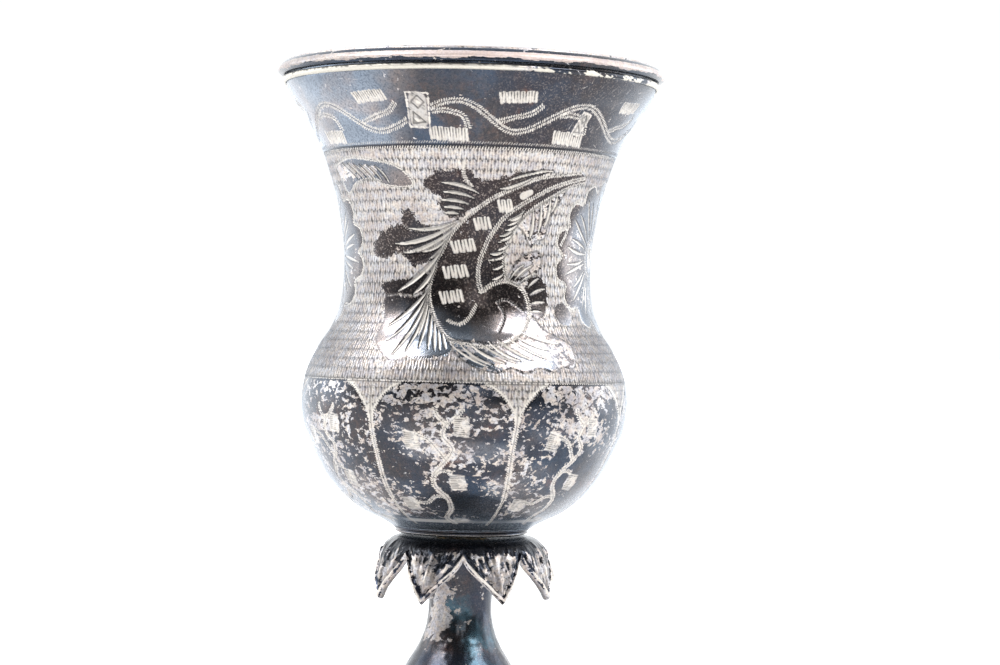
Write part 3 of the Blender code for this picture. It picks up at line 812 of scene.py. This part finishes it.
def cut_petals(skin):
    """Long petals below the belly line, each with a vine and small blocks, and hatching between tops."""
    vine = [(2.5, 93.4), (1.0, 91.2), (4.5, 88.8), (2.0, 86.4), (-2.5, 84.2), (-3.0, 81.6), (2.0, 79.2),
            (3.0, 77.0), (0.0, 75.2), (4.0, 73.9)]
    branches = [
        [(2.5, 93.4), (5.5, 94.6), (8.0, 96.2)], [(2.5, 93.4), (-0.5, 94.8), (-1.5, 96.4)],
        [(2.0, 86.6), (-1.0, 88.6), (-4.0, 90.4), (-8.0, 91.2)], [(-2.6, 83.6), (0.0, 84.6), (4.0, 84.2)],
        [(1.8, 79.4), (-3.0, 79.6), (-8.0, 78.2), (-13.0, 78.4)],
    ]
    blocks = ((7.5, 92.9, 3.6, 9), (-10, 90.2, 3.6, 9), (6.5, 82.3, 3.6, 9), (-16, 77.9, 3.6, 9),
              (8, 74.7, 2.0, 5))  # degrees from the middle, height, how tall, cuts
    top, foot = float(skin.down(FIELD_BOTTOM)), float(skin.down(ARCH_FOOT))
    rows = slice(skin.row(FIELD_BOTTOM), skin.row(ARCH_FOOT) + 1)
    mask = np.ones_like(skin.relief)
    arch = foot - (foot - top) * arch_rise(from_petal_edge(skin.angle) / ARCH_WIDTH)
    mask[rows] = skin.s[rows][:, None] >= arch
    skin.hatch(mask, FIELD_BOTTOM, ARCH_FOOT, 1.6, 1.3)
    arch_height = FIELD_BOTTOM - 0.3 - ARCH_FOOT
    for k in range(PETALS):
        edge = FIRST_EDGE + PETAL_PITCH * k
        sway = rng.uniform(-0.6, 0.6)
        rib = [(edge, 100.4), (edge, 97.5), (edge, ARCH_FOOT), (edge + sway, 88), (edge - sway, 79)]
        skin.ribbon(rib, 0.34, halo=0.5)
        skin.ribbon([(edge - sway, 79), (edge, 77), (edge + sway, 73.6)], 0.16)
        for side in (-ARCH_WIDTH, ARCH_WIDTH):
            path = [(edge + side * t, ARCH_FOOT + arch_height * arch_rise(t)) for t in np.linspace(0, 1, 9)]
            skin.line(path, 0.22, 0.06, 0.75)
            skin.beads(path, 0.0, 0.85, 0.5, width=0.2)
            skin.groove([(a + math.copysign(0.8, side), z - 0.3) for a, z in path[1:]], 0.16, 0.1, 0.8)
        middle = edge + PETAL_PITCH / 2 + rng.uniform(-1.2, 1.2)
        skin.ribbon([(middle + a, z) for a, z in vine], 0.3, halo=0.5)
        for branch in branches:
            skin.ribbon([(middle + a, z) for a, z in branch], 0.26, halo=0.4)
        for a, z, tall, cuts in blocks:
            tilt = rng.uniform(-8, 8)
            skin.block(middle + a, z, 2.5, tall, cuts, upright=False, tilt=tilt, halo=0.5, glow=0.8)


def tarnish_bowl(skin):
    """Wear, dirt, thin tarnish and painted light over the bowl: pale petals, a rubbed shoulder lightened as
    painted sheen, painted haze on the frieze's left and the belly's sides, a painted dark reflection of the
    lens at the front, a painted reflection band near the bottom, and a frieze duller to the right.
    """
    height, turn = skin.z[:, None], skin.angle[None, :]
    cloud, drift = skin.noise(26, 24), skin.noise(44, 40)
    petals = window(height, 74.6, 75.6, 100.5, 101.2)
    upper = ramp(height, 80.0, 97.0)
    smooth = window(turn, 18, 45, 95, 120) * (1 - ramp(height, 84, 92))
    # a painted dark reflection of the lens on the front of the petals: it lowers the wear, adds to the stain
    # and keeps the veil off
    lens_reflection = bell(turn, 1, 10) * bell(height, 78.6, 2.6) * petals
    beside_line = bell(from_petal_edge(turn), 7, 5) * upper
    black_top = bell(turn, -60, 16) * ramp(height, 93.0, 97.0)
    low_left = bell(turn, -32, 20) * (1 - ramp(height, 79, 86))
    wear_and_painted_reflection = 0.225 + 0.11 * upper - 0.10 * beside_line + 0.10 * cloud + 0.06 * drift
    wear_and_painted_reflection = wear_and_painted_reflection + 0.07 * low_left - 0.2 * smooth - 0.3 * lens_reflection - 0.13 * black_top
    skin.wear = np.maximum(skin.wear, petals * np.clip(wear_and_painted_reflection, 0, 1))

    dull = (0.12 + 0.14 * upper * window(turn, 20, 50, 110, 140)) * petals * (skin.bright < 0.1)
    # painted dark reflection of the lens
    painted_lens_reflection = 0.55 * ramp(lens_reflection, 0.3, 0.8) * (skin.bright < 0.2)
    # the middle term makes the bowl darker at its very bottom, below 73.9 mm, next to the seat
    for dirt in (painted_lens_reflection, 0.5 * (1 - ramp(height, 73.4, 73.9)), dull):
        skin.stain = np.maximum(skin.stain, dirt)
    # a painted reflection band round the bowl just above the seat
    painted_ring_reflection = window(height, 73.9, 74.2, 74.6, 75.1) * np.clip(0.40 + 0.3 * cloud + 0.1 * drift, 0, 0.6)
    skin.bright = np.maximum(skin.bright, painted_ring_reflection)

    frieze, right = ramp(height, 144.8, 145.4), window(turn, -2, 22, 150, 175)
    skin.grain += window(height, 100.8, 101.4, 144.4, 145.2) + 0.08 * petals + frieze * right * 0.6
    # the shoulder is rubbed thin, and lightened as a painted sheen
    shoulder = ramp(height + 1.5 * cloud, 101.5, 104.5) * (1 - ramp(height + 2.5 * cloud, 110.5, 116.0))
    # painted haze on the frieze's left
    left = ramp(height, 144.9, 145.5) * (1 - ramp(turn + 5 * cloud, -36, -12)) * ramp(turn, -150, -120)
    # painted haze on the belly's sides
    sides = bell(np.abs(turn), 78, 26) * petals * (1 - ramp(height, 84, 99))
    thin = ramp(cloud, -0.2, 0.6) * petals * (1 - ramp(height, 88, 96)) * (1 - 0.8 * smooth)
    veil = 0.10 * frieze * (1 - 0.6 * right) + (0.30 * thin + 0.06 * petals) * (1 - lens_reflection)
    sides = 0.3 * sides * (1 + 0.3 * cloud)
    for film in (shoulder * (0.8 + 0.4 * drift), left * (0.74 + 0.2 * cloud), sides, veil):
        skin.film = np.maximum(skin.film, film)


def scratch_bowl(skin):
    """Light scratches round the frieze and the petals, and small rubbed spots on the frieze."""
    clear_low, clear_high = 98, 146  # the field has none
    for _ in range(70):
        angle, z, run = rng.uniform(-180, 180), rng.uniform(76, 158), rng.uniform(1.5, 9)
        if not clear_low <= z <= clear_high:
            s = float(skin.down(z))
            end = (angle + run, s + rng.uniform(-0.25, 0.6))
            skin.stroke((angle, s), end, 0.13, 0.1, 0.03, rng.uniform(0.35, 0.6))
    for _ in range(26):
        angle, s = rng.uniform(34, 66), float(skin.down(rng.uniform(146.5, 157)))
        end = (angle + rng.uniform(0.8, 2.6), s - rng.uniform(0.4, 1.6))
        skin.blot(skin.bright, (angle, s), end, 0.3, 0.12, rng.uniform(0.25, 0.5), 0.8)


def make_bowl(finish, inside_finish):
    skin = Skin(BOWL, COLUMNS, STEP)
    dents = skin.noise(24, 22) * 0.05 + skin.noise(60, 70) * 0.018
    plain = np.zeros_like(skin.relief)
    cut_frieze(skin)
    for centre in (79, 271):
        cut_rosette(skin, plain, centre)
    for centre in (0, 180):
        cut_flower(skin, plain, centre)
    skin.hatch(plain, FRIEZE_BOTTOM - 0.5, FIELD_BOTTOM + 0.2)
    cut_petals(skin)
    for height, width in ((FRIEZE_BOTTOM + 0.25, 0.2), (TOP_LINE, 0.3)):
        skin.groove(around(height), width, 0.12, 0.95)
    skin.beads(around(FRIEZE_BOTTOM + 0.72), 0.0, 0.3, 0.5, width=0.17, bright=0.6)
    skin.beads(around(FRIEZE_BOTTOM - 0.25), 0.0, 0.6, 0.55, width=0.16)
    skin.beads(around(FIELD_BOTTOM + 0.1), 0.0, 0.5, 0.55, width=0.16)
    skin.groove(around(FIELD_BOTTOM - 0.35), 0.16, 0.1, 0.8)
    tarnish_bowl(skin)
    scratch_bowl(skin)
    skin.relief += dents
    bands = (("bowl_frieze", BOWL_TOP, FRIEZE_BOTTOM, "bowl_shell"),
             ("bowl_field", FRIEZE_BOTTOM, FIELD_BOTTOM), ("bowl_petals", FIELD_BOTTOM, BOWL_BOTTOM))
    for name, top, bottom, *nodes in bands:
        place(skin.mesh(name, top, bottom, finish, SKIN_WALL), "tarnished_silver", *nodes)

    outside = curve(BOWL, 3)
    face, back = (outside - outward(outside) * depth for depth in (0.5, 0.9))
    floor_top, floor_low = 73.0, 72.4
    body = [(35.7, 162.55), (35.4, 162.5), *back[1:-2], (12.0, floor_top), (0.02, floor_top)]
    under = [(0.02, floor_low), (13.0, floor_low), *face[1:-1][::-1]]
    place(turned("bowl_lining", body + under, 160, inside_finish), "tarnished_silver")


# ---------------------------------------------------------------- lip
def section_arc(centre, radius, start, end, steps):
    turns = np.linspace(start, end, steps) * RADIAN
    return [(centre[0] + radius * math.cos(t), centre[1] + radius * math.sin(t)) for t in turns]


def make_lip(band_finish, wire_finish):
    columns = 480
    band = [
        (35.6, 162.2), (35.7, 162.55), (35.95, 162.75), (36.2, 162.74), (36.38, 162.58), (36.46, 162.4),
        (36.6, 162.36), (36.85, 162.28), (37.25, 161.92), (37.6, 161.5), (37.85, 161.15), (37.95, 160.85),
        (37.9, 160.62), (37.6, 160.4), (37.35, 160.2), (37.2, 160.0), (36.9, 159.9), (36.38, 159.9),
        (36.4, 160.8), (36.1, 162.0),
    ]
    smooth_band = curve([*band, band[0]], 3)[:-1]

    def in_band(a, z):
        low = 160.5 + 0.13 * np.sin(a * 0.21) + 0.10 * np.sin(a * 0.57 + 1) + 0.06 * np.sin(a * 1.9)
        return (z > low) & (z < 161.65)

    def band_bright(a, z):
        return 0.3 * (z > 162.5) + (0.44 + 0.12 * np.sin(a * 0.05 + 1)) * in_band(a, z)

    # stain darkens the band towards the left as painted shade, and round 42° to the right
    piece = turned("lip_moulding", smooth_band, columns, band_finish, rough=0.02, bright=band_bright,
                   stain=lambda a, z: (0.42 * bell(a, -58, 34) + 0.22 * bell(a, 42, 26)) * in_band(a, z),
                   wear=lambda a, z: np.where(z > 162.3, 0.55, np.where(in_band(a, z), 0.9, 0.05)))
    place(piece, "tarnished_silver", "lip_band")
    wire = [*section_arc((36.6, 159.0), 0.6, 110, -95, 14), (36.34, 158.5), (36.34, 159.5)]

    def shown(a):
        return 1 - window(a, 2, 26, 62, 80)

    def flecks(a, z):
        long = np.sin(a * 0.37) + np.sin(a * 0.83 + 2) + 0.6 * np.sin(5 * z + 0.3 * a)
        low = 0.9 * ramp(159.1 - z, 0, 0.4) * ramp(a, 10, 30)
        return ramp(long + low + 0.7 * np.sin(a * 2.3 + 9 * z) + 0.5 * np.sin(a * 5.1), 0.7, 1.2)

    # nicks darkens the wire: painted shade towards the left, and darker along its top, under the band
    def nicks(a, z):
        ragged = np.sin(a * 0.71 + 1) + np.sin(a * 1.37) + np.sin(a * 3.1 + 2)
        return np.clip(0.16 * bell(a, -55, 30) + 0.8 * (z > 159.25 + 0.1 * ragged), 0, 0.9)

    piece = turned("lip_bead", wire, columns, wire_finish, rough=0.02, stain=nicks,
                   wear=lambda a, z: 0.2 + 0.76 * shown(a),
                   bright=lambda a, z: np.maximum(0.9 * shown(a), 0.95 * flecks(a, z)))
    place(piece, "bright_silver", "lip_wire")


# ---------------------------------------------------------------- calyx
def make_calyx(finish):
    """Eight hanging leaves in one casting, with raised edges, midribs and veins."""
    per_leaf, rows = 64, 64
    thickness = 1.15
    profile = curve(CALYX, 10)
    run = run_along(*np.diff(profile, axis=0).T)

    def on_profile(s):
        """The radius and height at a distance down the profile, and the outward direction there."""
        step = 0.05
        r, z = (np.interp(s, run, axis) for axis in profile.T)
        dr, dz = (np.interp(s + step, run, axis) - np.interp(s - step, run, axis) for axis in profile.T)
        length = np.hypot(dr, dz) + 1e-9
        return r, z, -dz / length, dr / length

    borders = np.array([-180.0, -133.0, -88.0, -43.0, 0.0, 43.0, 88.0, 133.0, 180.0])
    lean = np.repeat([0.0, 0.0, 0.5, -4.4, 4.4, 0.5, 0.0, 0.0], per_leaf)  # degrees each tip swings
    reach = np.repeat([0.0, -0.2, 0.3, 0.4, 0.1, -0.1, 0.2, -0.1], per_leaf)  # mm each tip hangs lower
    centre, half = (np.repeat(v / 2, per_leaf) for v in (borders[1:] + borders[:-1], np.diff(borders)))
    fraction = np.arange(per_leaf) / per_leaf
    angle = np.concatenate([a + (b - a) * fraction for a, b in zip(borders, borders[1:])])
    columns = len(angle)
    offset = (angle - centre) / half  # -1 to 1 across a leaf
    across = np.abs(offset)
    notch, tip = np.interp([-NOTCH_HEIGHT, -LEAF_TIP_HEIGHT], -profile[:, 1], run)
    tip = tip + reach
    edge = np.interp(across, [0, 0.03, 0.14, 0.42, 0.71, 0.88, 1.0], [0, 0.02, 0.12, 0.38, 0.65, 0.84, 1.0])
    edge = tip + (notch - tip) * edge
    s = edge * (np.linspace(0, 1, rows) ** 0.9)[:, None]
    r, z, nr, nz = on_profile(s)
    x = offset * half * RADIAN * r
    to_edge = (edge - s) * 0.58
    fade = ramp(s, notch - 3.2, notch - 0.6)
    rim = bell(to_edge, 0.35, 0.30) * fade
    down_leaf = np.clip((s - notch) / (tip - notch), 0, 0.98)
    spread = np.interp(down_leaf, [0, 0.16, 0.35, 0.62, 0.88, 0.98], [1.0, 0.88, 0.71, 0.42, 0.14, 0.03])
    v = np.clip(offset / np.maximum(spread, 0.12), -1, 1)
    wobble = soft_noise(rows, columns, 9, 40) * 0.12
    folds = ramp(np.abs(((v + wobble) * 1.5 + 0.5) % 1.0 - 0.5) * 2, 0.15, 0.85)
    within = ramp(to_edge, 0.5, 1.3)
    broken = 0.65 + 0.35 * soft_noise(rows, columns, 14, 120)
    veins = (0.42 * (1 - folds) * broken - 0.12) * within * ramp(s, notch - 4.0, notch + 0.5)
    rib = 0.22 * bell(x, 0, 0.40) * within * ramp(s, notch - 4.5, notch - 1.0)
    camber = -0.9 * (x / 6.9) ** 2 * ramp(s, notch - 1.5, notch + 2.5)
    pits = soft_noise(rows, columns, 22, 160) * 0.09 + soft_noise(rows, columns, 40, 320) * 0.05
    streaks = soft_noise(rows, columns, 8, 300) * within * fade
    groove = bell(to_edge, 1.0, 0.26) * fade
    lift = 0.5 * rim + rib + veins + camber + pits * fade + 0.10 * streaks - 0.16 * groove
    turn = (angle + lean * down_leaf * ramp(1 - across, 0.0, 0.35)) * RADIAN
    outer, inner = (rings(r + nr * out, z + nz * out, turn) for out in (lift, lift * 0.5 - thickness))
    inner = inner[::-1]
    tangent = outer[-1] - outer[-3]
    tangent /= np.linalg.norm(tangent, axis=1)[:, None] + 1e-9
    bulge = tangent * 0.28
    rounded = [outer[-1] * (1 - k) + inner[0] * k + bulge * math.sin(math.pi * k) for k in (0.25, 0.5, 0.75)]
    grid = np.concatenate([outer, rounded, inner])
    grid[..., 0] += CALYX_SHIFT

    shine = rim + np.clip(veins, 0, 1) * 2.6 + np.clip(pits, 0, 1) * 4.5 * ramp(s, notch - 4, notch)
    shine = shine * (0.85 + 0.5 * soft_noise(rows, columns, 10, 90)) + 0.5 * np.clip(streaks, -0.6, 1)
    shine = np.clip(shine - 0.5 * groove, 0, 1)
    lower = ramp(s, notch - 1.0, notch + 4.0)
    rubbed = 0.2 * fade * np.clip(soft_noise(rows, columns, 12, 60), 0, 1)
    hollows_and_shade = np.clip(1.0 - shine * 1.5, 0, 0.92) * within * (1 - 0.35 * lower)
    # painted shade on the calyx's top, under the bowl
    hollows_and_shade = hollows_and_shade + 0.9 * (1 - ramp(s, notch - 5.0, notch - 0.5)) * (1 - 0.6 * shine)
    faces = {  # the front, and one number each for the rounded edge and the back
        "wear": ((0.04 + 0.6 * shine + 0.4 * lower * within + rubbed) * fade, 0.85, 0.25),
        "bright": (np.clip(shine - 0.3, 0, 1) * (0.55 + 0.6 * lower) * fade, 0.17, 0.0),
        "stain": (np.clip(hollows_and_shade, 0, 0.95), 0.0, 0.3),
    }
    maps = {}
    for key, (front, rounding, behind) in faces.items():
        rest = np.repeat([rounding, behind], (len(rounded), rows))[:, None]
        maps[key] = np.concatenate([front, rest + np.zeros(columns)])
    piece = loop_mesh("leaf_casting", grid, finish, maps, flat_after=(len(grid) - 1,))
    place(piece, "tarnished_silver", "leaf_calyx")


# ---------------------------------------------------------------- stem and foot
def shell_outline(outside, wall):
    """A closed section: an outside line and its own inside, a wall apart."""
    p = curve(outside, 6)
    back = p - outward(p) * wall
    back[[0, -1], 1] = p[[0, -1], 1]
    return [*p, *back[::-1]]


def make_stem(finish, seat_finish):
    def upper_wear(a, z):
        return 0.07 + 0.5 * window(z, 46, 54, 61, 65) * bell(a, -40, 28)

    columns = 256
    upper, lower = (shell_outline(line, STEM_WALL) for line in (STEM_TOP, STEM_LOW))
    piece = turned("stem_upper", upper, columns, finish, upper_wear, rough=0.04, grain=0.08)
    place(piece, "tarnished_silver", "baluster_upper")
    place(turned("stem_lower", lower, columns, finish, rough=0.04), "tarnished_silver", "baluster_lower")
    ring = [(2.4, 24.7), *section_arc((7.55, 23.95), 0.75, 88, -88, 11), (2.4, 23.2)]
    place(turned("stem_collar", ring, 200, finish, 0.5, rough=0.02), "tarnished_silver", "foot_collar")
    seat = [(5.4, 72.25), (13.35, 72.25), (13.42, 72.15), (13.2, 71.85), (12.95, 71.6), (12.95, 71.45),
            (13.05, 71.36), (12.95, 71.24), (12.7, 71.12), (12.4, 71.0), (5.4, 71.0)]
    piece = turned("bowl_seat", seat, columns, seat_finish, 0.0, rough=0.01,
                   bright=lambda a, z: 0.55 * (np.abs(z - 71.36) < 0.08))
    place(piece, "tarnished_silver", "seat_ring")


def make_foot(finish):
    skin = Skin(FOOT, FOOT_COLUMNS, FOOT_STEP)
    hatch_top, hatch_bottom = 9.6, 6.6
    mask = np.ones_like(skin.relief)
    mask[skin.row(hatch_top):skin.row(hatch_bottom) + 1] = 0
    skin.hatch(mask, hatch_top, hatch_bottom, 1.7, 1.3)
    for edge in range(-180, 180, 40):
        skin.ribbon([(edge, 21.0), (edge, 17.0), (edge, 13.4), (edge, 10.4)], 0.3, halo=0.55)
        for side in (-1, 1):
            arch = [(edge, 10.0), (edge + side * 6, 10.6), (edge + side * 13, 9.9), (edge + side * 20, 9.7)]
            skin.beads(arch, 0.0, 0.5, 0.5, width=0.16)
        middle = edge + 20
        vine = ((0, 17.6), (-4, 16.2), (4, 14.6), (-3, 13.2), (3, 11.6))
        skin.ribbon([(middle + a, z) for a, z in vine], 0.28, halo=0.5)
        for a, z in ((6, 15.8), (-8, 14.6), (9, 13.2), (-9, 11.9)):
            skin.block(middle + a, z, 2.4, 2.4, 5, upright=False, halo=0.6)
    skin.beads(around(6.5), 0.0, 0.5, 0.55)
    skin.wear = np.maximum(skin.wear, 0.17 + 0.08 * skin.noise(8, 24))
    skin.film += 0.06
    skin.relief += skin.noise(10, 30) * 0.05
    skin.relief *= window(skin.s, 0, 1.0, skin.s[-1] - 1, skin.s[-1])[:, None]
    place(skin.mesh("foot_skin", FOOT_TOP, FOOT_BOTTOM, finish, FOOT_WALL), "tarnished_silver", "foot_dome")
    rim = [(29.6, 4.2), (32.3, 4.2), (32.8, 3.9), (32.9, 3.4), (32.7, 2.9), (32.75, 2.5),
           *section_arc((33.05, 1.35), 0.95, 75, -75, 10), (32.9, 0.0), (29.6, 0.0)]
    place(turned("foot_moulding", rim, 480, finish, 0.5, rough=0.02), "tarnished_silver", "foot_rim")


# ---------------------------------------------------------------- stage
def softbox(name, direction, distance, size, power, colour=(1, 1, 1)):
    """A rectangular light that faces the middle of the cup."""
    light = bpy.data.lights.new(name, "AREA")
    light.shape = "RECTANGLE"
    light.size, light.size_y = size
    light.energy = power
    light.color = colour
    obj = bpy.data.objects.new(name, light)
    target = Vector((0, 0, 0.1))
    obj.location = target + Vector(direction).normalized() * distance
    obj.rotation_euler = (target - obj.location).to_track_quat("-Z", "Y").to_euler()
    bpy.context.scene.collection.objects.link(obj)


def make_stage():
    material = bpy.data.materials.new("pale_floor")
    n = Nodes(material)
    away = n.make("ShaderNodeVectorMath", operation="LENGTH")
    n.link(n.coordinate("Object"), away.inputs[0])
    n.fill_in(n.shader, {
        "Base Color": n.mix(n.noise(3.0, 2.0, 0.5), (0.68, 0.68, 0.68), (0.72, 0.72, 0.72)),
        "Roughness": 0.9,
        "Emission Color": (1, 1, 1, 1),
        # the floor glows less near the cup: a painted soft shadow round the foot
        "Emission Strength": n.range(away.outputs["Value"], 0.2, 0.9, 0.42, 0.75),
    })
    bpy.ops.mesh.primitive_plane_add(size=30, location=(0, 0, -0.0002))
    floor = bpy.context.object
    floor.name = "floor"
    floor.data.materials.append(material)

    world = bpy.data.worlds.new("studio")
    bpy.context.scene.world = world
    n = Nodes(world, "Background")
    split = n.make("ShaderNodeSeparateXYZ")
    n.link(n.coordinate("Generated"), split.inputs[0])
    pick = n.make("ShaderNodeMix")
    seen = n.make("ShaderNodeLightPath").outputs["Is Camera Ray"]
    n.fill_in(pick, {"Factor": seen, "A": n.range(split.outputs["Y"], -0.75, 0.25, 0.14, 1.6), "B": 1.05})
    n.fill_in(n.shader, {"Strength": pick.outputs["Result"], "Color": (0.965, 0.985, 1.0, 1)})

    cool = (0.86, 0.94, 1.0)
    softbox("top_left", (-0.62, -0.27, 0.73), 0.9, (0.40, 0.34), 4.6)
    softbox("top_right", (0.61, -0.39, 0.68), 0.9, (0.5, 0.34), 4.9)
    softbox("left", (-1.0, 0.3, 0.12), 1.1, (0.6, 0.9), 3.4, cool)
    softbox("right", (1.0, 0.35, 0.12), 1.1, (0.6, 0.9), 4.0, cool)
    softbox("front", (0.15, -1.0, 0.35), 1.6, (0.5, 0.5), 2)


def make_camera():
    camera = bpy.data.cameras.new("camera")
    camera.sensor_width = 36
    camera.lens = 90.3
    roll = 1.25
    obj = bpy.data.objects.new("camera", camera)
    bpy.context.scene.collection.objects.link(obj)
    obj.matrix_world = (
        Matrix.Translation((0.0067, -0.494, 0.1105))
        @ Matrix.Rotation(math.pi / 2, 4, "X")
        @ Matrix.Rotation(roll * RADIAN, 4, "Z")
    )
    bpy.context.scene.camera = obj


make_camera()
make_stage()
bpy.context.scene.view_settings.view_transform = "Standard"
bpy.context.scene.view_settings.look = "None"

engraved = silver("engraved_silver", brown=0.42, patch_scale=820.0, haze=0.62)
lip_silver = silver("lip_silver", blue=0.2, brown=0.2, haze=0.1, cut_tone=(0.69, 0.555, 0.51))
wire_silver = silver("wire_silver", blue=0.2, brown=0.2, haze=0.1, cut_tone=(0.67, 0.635, 0.56))
stem_silver = silver("stem_silver", blue=0.95, brown=0.3, patch_scale=340.0, shade=0.64, haze=0.15,
                     blue_tone=(0.026, 0.072, 0.10))
foot_silver = silver("foot_silver", haze=0.15)
leaf_silver = silver("leaf_silver", blue=0.1, brown=0.2, patch_scale=700.0, haze=0.1)
inside_silver = silver("inside_silver", base_wear=0.62, blue=0.1, brown=0.2)
dull_brass = brass("dull_brass")

make_bowl(engraved, inside_silver)
make_lip(lip_silver, wire_silver)
make_calyx(leaf_silver)
make_stem(stem_silver, leaf_silver)
make_foot(foot_silver)
for node in ("bowl_boss", "tie_rod", "dished_washer", "tie_nut"):
    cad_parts[node].data.materials.clear()
    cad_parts[node].data.materials.append(dull_brass)
